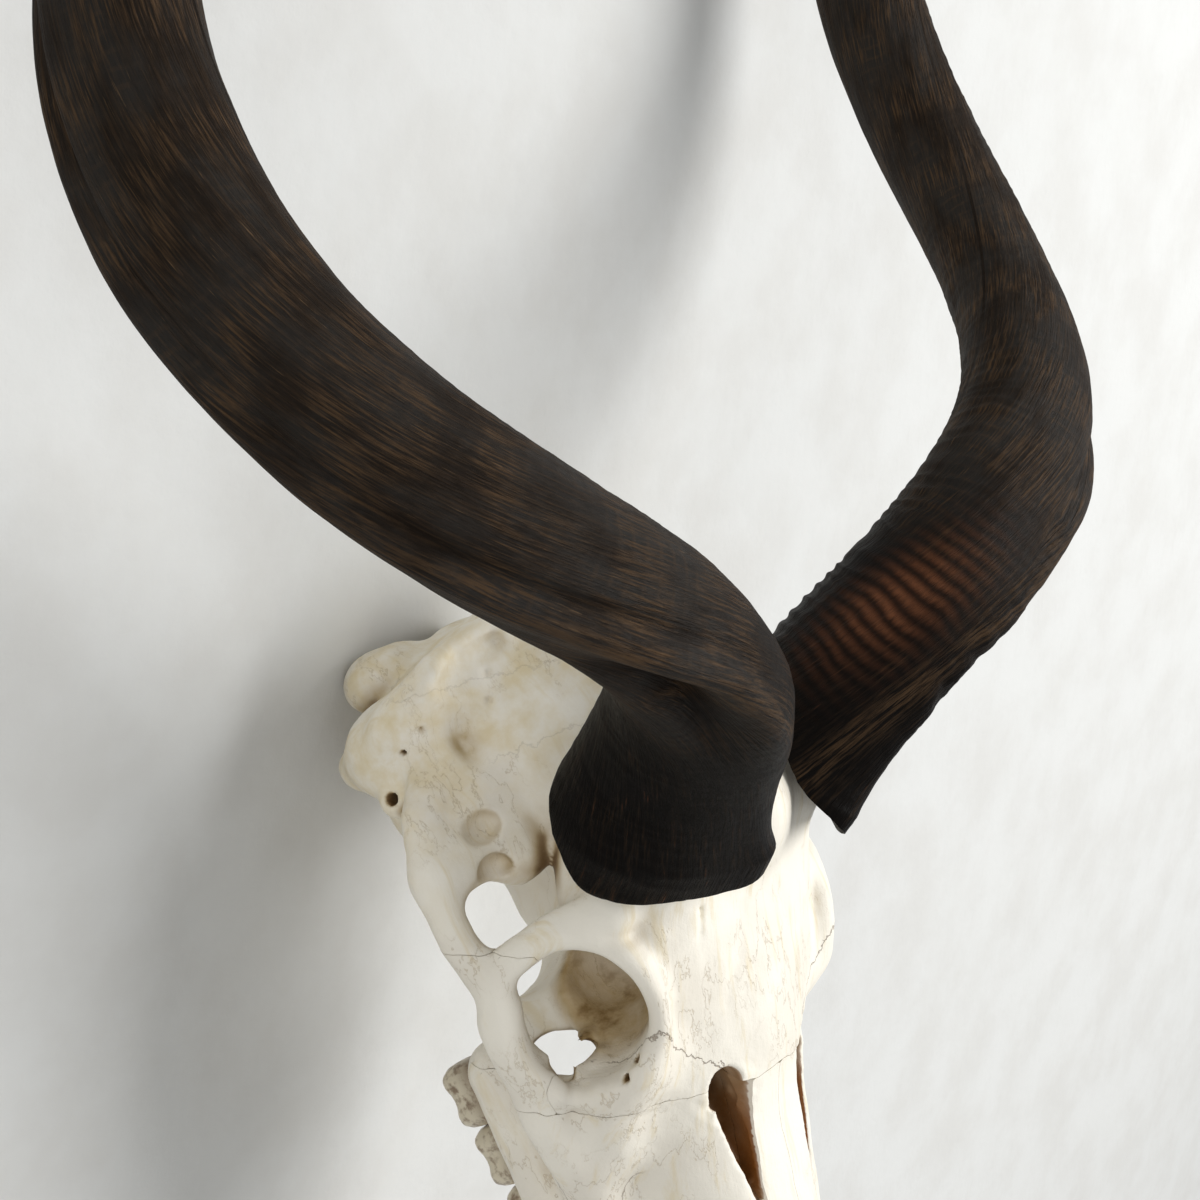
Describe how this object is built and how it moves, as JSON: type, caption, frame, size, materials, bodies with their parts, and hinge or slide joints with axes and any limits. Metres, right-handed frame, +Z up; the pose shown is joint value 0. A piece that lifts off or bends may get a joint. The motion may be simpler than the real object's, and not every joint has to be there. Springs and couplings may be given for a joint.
{
  "type": "horned skull",
  "caption": "Dry kudu bull skull with both spiral horns and no lower jaw, life size, lying tipped back on its nape and horn tips.",
  "frame": {"origin": "middle of the part's base on the floor, under the centre of its box", "axes": "+Z up, -Y towards the nose, +Y towards the horn tips, +X to the animal's left"},
  "size_m": [0.8806, 1.1, 0.2563],
  "materials": {
    "face_bone": "dry pale bone, matte, fine cracks and pits",
    "nape_bone": "dry bone, yellower towards the nape, matte",
    "horn": "dark brown horn with lengthwise fibres and growth rings, satin"
  },
  "bodies": {
    "root": {"cranium": "nape_bone", "cheekbone_right": "face_bone", "upper_jaw_right": "face_bone", "nasal_right": "face_bone", "premaxilla_right": "face_bone", "horn_right_base": "horn", "horn_right_lower": "horn", "horn_right_upper": "horn", "horn_right_tip": "horn", "cheekbone_left": "face_bone", "upper_jaw_left": "face_bone", "nasal_left": "face_bone", "premaxilla_left": "face_bone", "horn_left_base": "horn", "horn_left_lower": "horn", "horn_left_upper": "horn", "horn_left_tip": "horn"}
  },
  "joints": []
}
